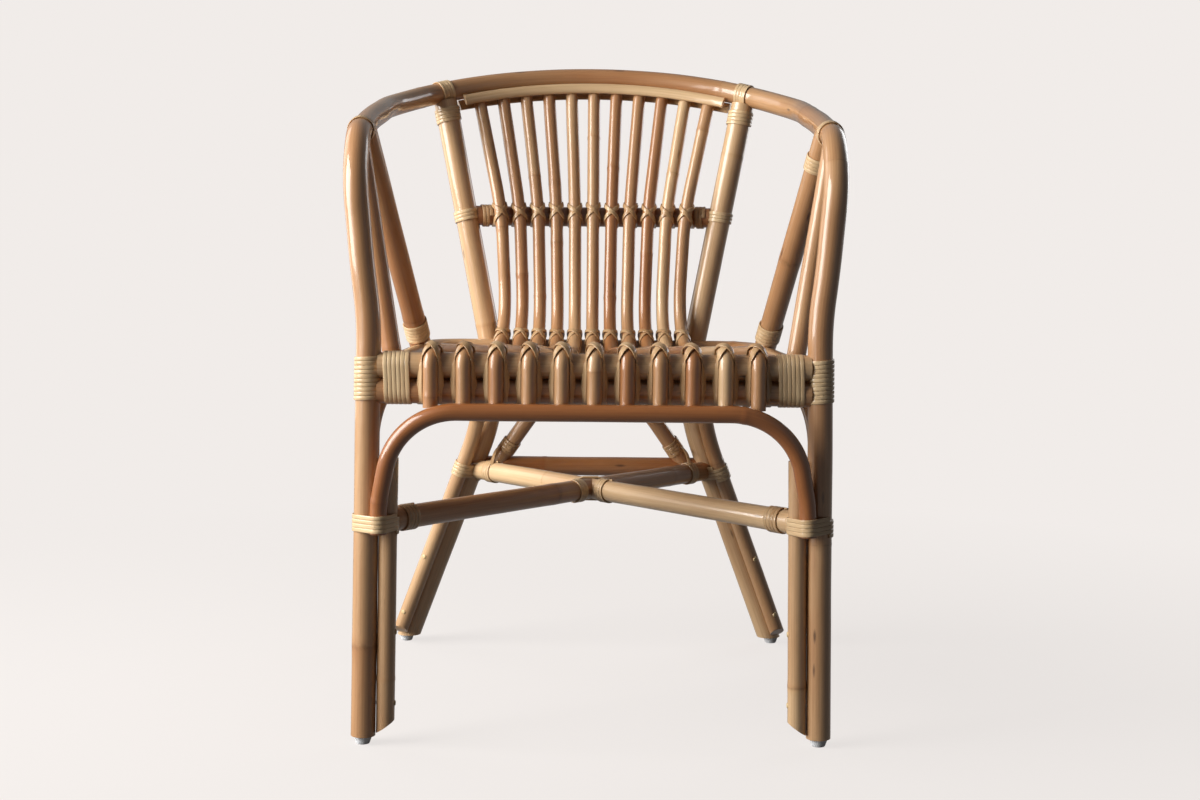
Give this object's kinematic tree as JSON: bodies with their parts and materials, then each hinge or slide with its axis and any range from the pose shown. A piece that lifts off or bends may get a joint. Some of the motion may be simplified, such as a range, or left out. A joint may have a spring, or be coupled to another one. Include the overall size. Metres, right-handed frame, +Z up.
{
  "type": "cane armchair",
  "caption": "Rattan armchair with a bent hoop for legs, arms and back, slatted seat and back, crossed stretchers and peel-bound joints.",
  "frame": {"origin": "on the floor under the middle of the chair's overall box", "axes": "+Z up, -Y towards the front of the chair, +X towards its right side as seen from the front"},
  "size_m": [0.5484, 0.5562, 0.7762],
  "materials": {
    "pole": "glossy lacquer",
    "thin_pole": "glossy lacquer",
    "arch": "glossy lacquer",
    "slat": "glossy lacquer",
    "peel": "glossy lacquer",
    "glide": "satin",
    "plug": "lacquer",
    "screw": "zinc"
  },
  "bodies": {
    "root": {"arm_bindings": "peel", "arm_strut_front_left": "pole", "arm_strut_front_right": "pole", "arm_strut_rear_left": "pole", "arm_strut_rear_right": "pole", "back_mid_rail": "pole", "back_post_left": "pole", "back_post_right": "pole", "cross_bindings": "peel", "cross_stretcher_a": "pole", "cross_stretcher_b": "pole", "front_arch": "arch", "front_leg_doubler_left": "thin_pole", "front_leg_doubler_right": "thin_pole", "glide_front_left": "glide", "glide_front_right": "glide", "glide_rear_left": "glide", "glide_rear_right": "glide", "hoop_rail": "pole", "leg_bands": "peel", "leg_plugs": "plug", "leg_screws": "screw", "mid_rail_end_bindings": "peel", "mid_rail_post_bindings": "peel", "post_top_bindings": "peel", "post_top_hoop_bindings": "peel", "rear_brace_bindings": "peel", "rear_brace_left": "thin_pole", "rear_brace_right": "thin_pole", "rear_leg_bands": "peel", "rear_stretcher": "pole", "seat_bow": "pole", "seat_corner_post_bindings": "peel", "seat_corner_rail_bindings": "peel", "seat_front_rail_lower": "pole", "seat_front_rail_upper": "pole", "side_arch_left": "thin_pole", "side_arch_right": "thin_pole", "slat_01": "slat", "slat_02": "slat", "slat_03": "slat", "slat_04": "slat", "slat_05": "slat", "slat_06": "slat", "slat_07": "slat", "slat_08": "slat", "slat_09": "slat", "slat_10": "slat", "slat_11": "slat", "slat_lashings_back": "peel", "slat_lashings_front": "peel", "slat_lashings_seat": "peel", "stretcher_front_bindings": "peel", "stretcher_rear_bindings": "peel", "strut_foot_bindings": "peel", "strut_top_binding": "peel", "top_batten_front": "slat", "top_batten_rear": "slat"}
  },
  "joints": []
}
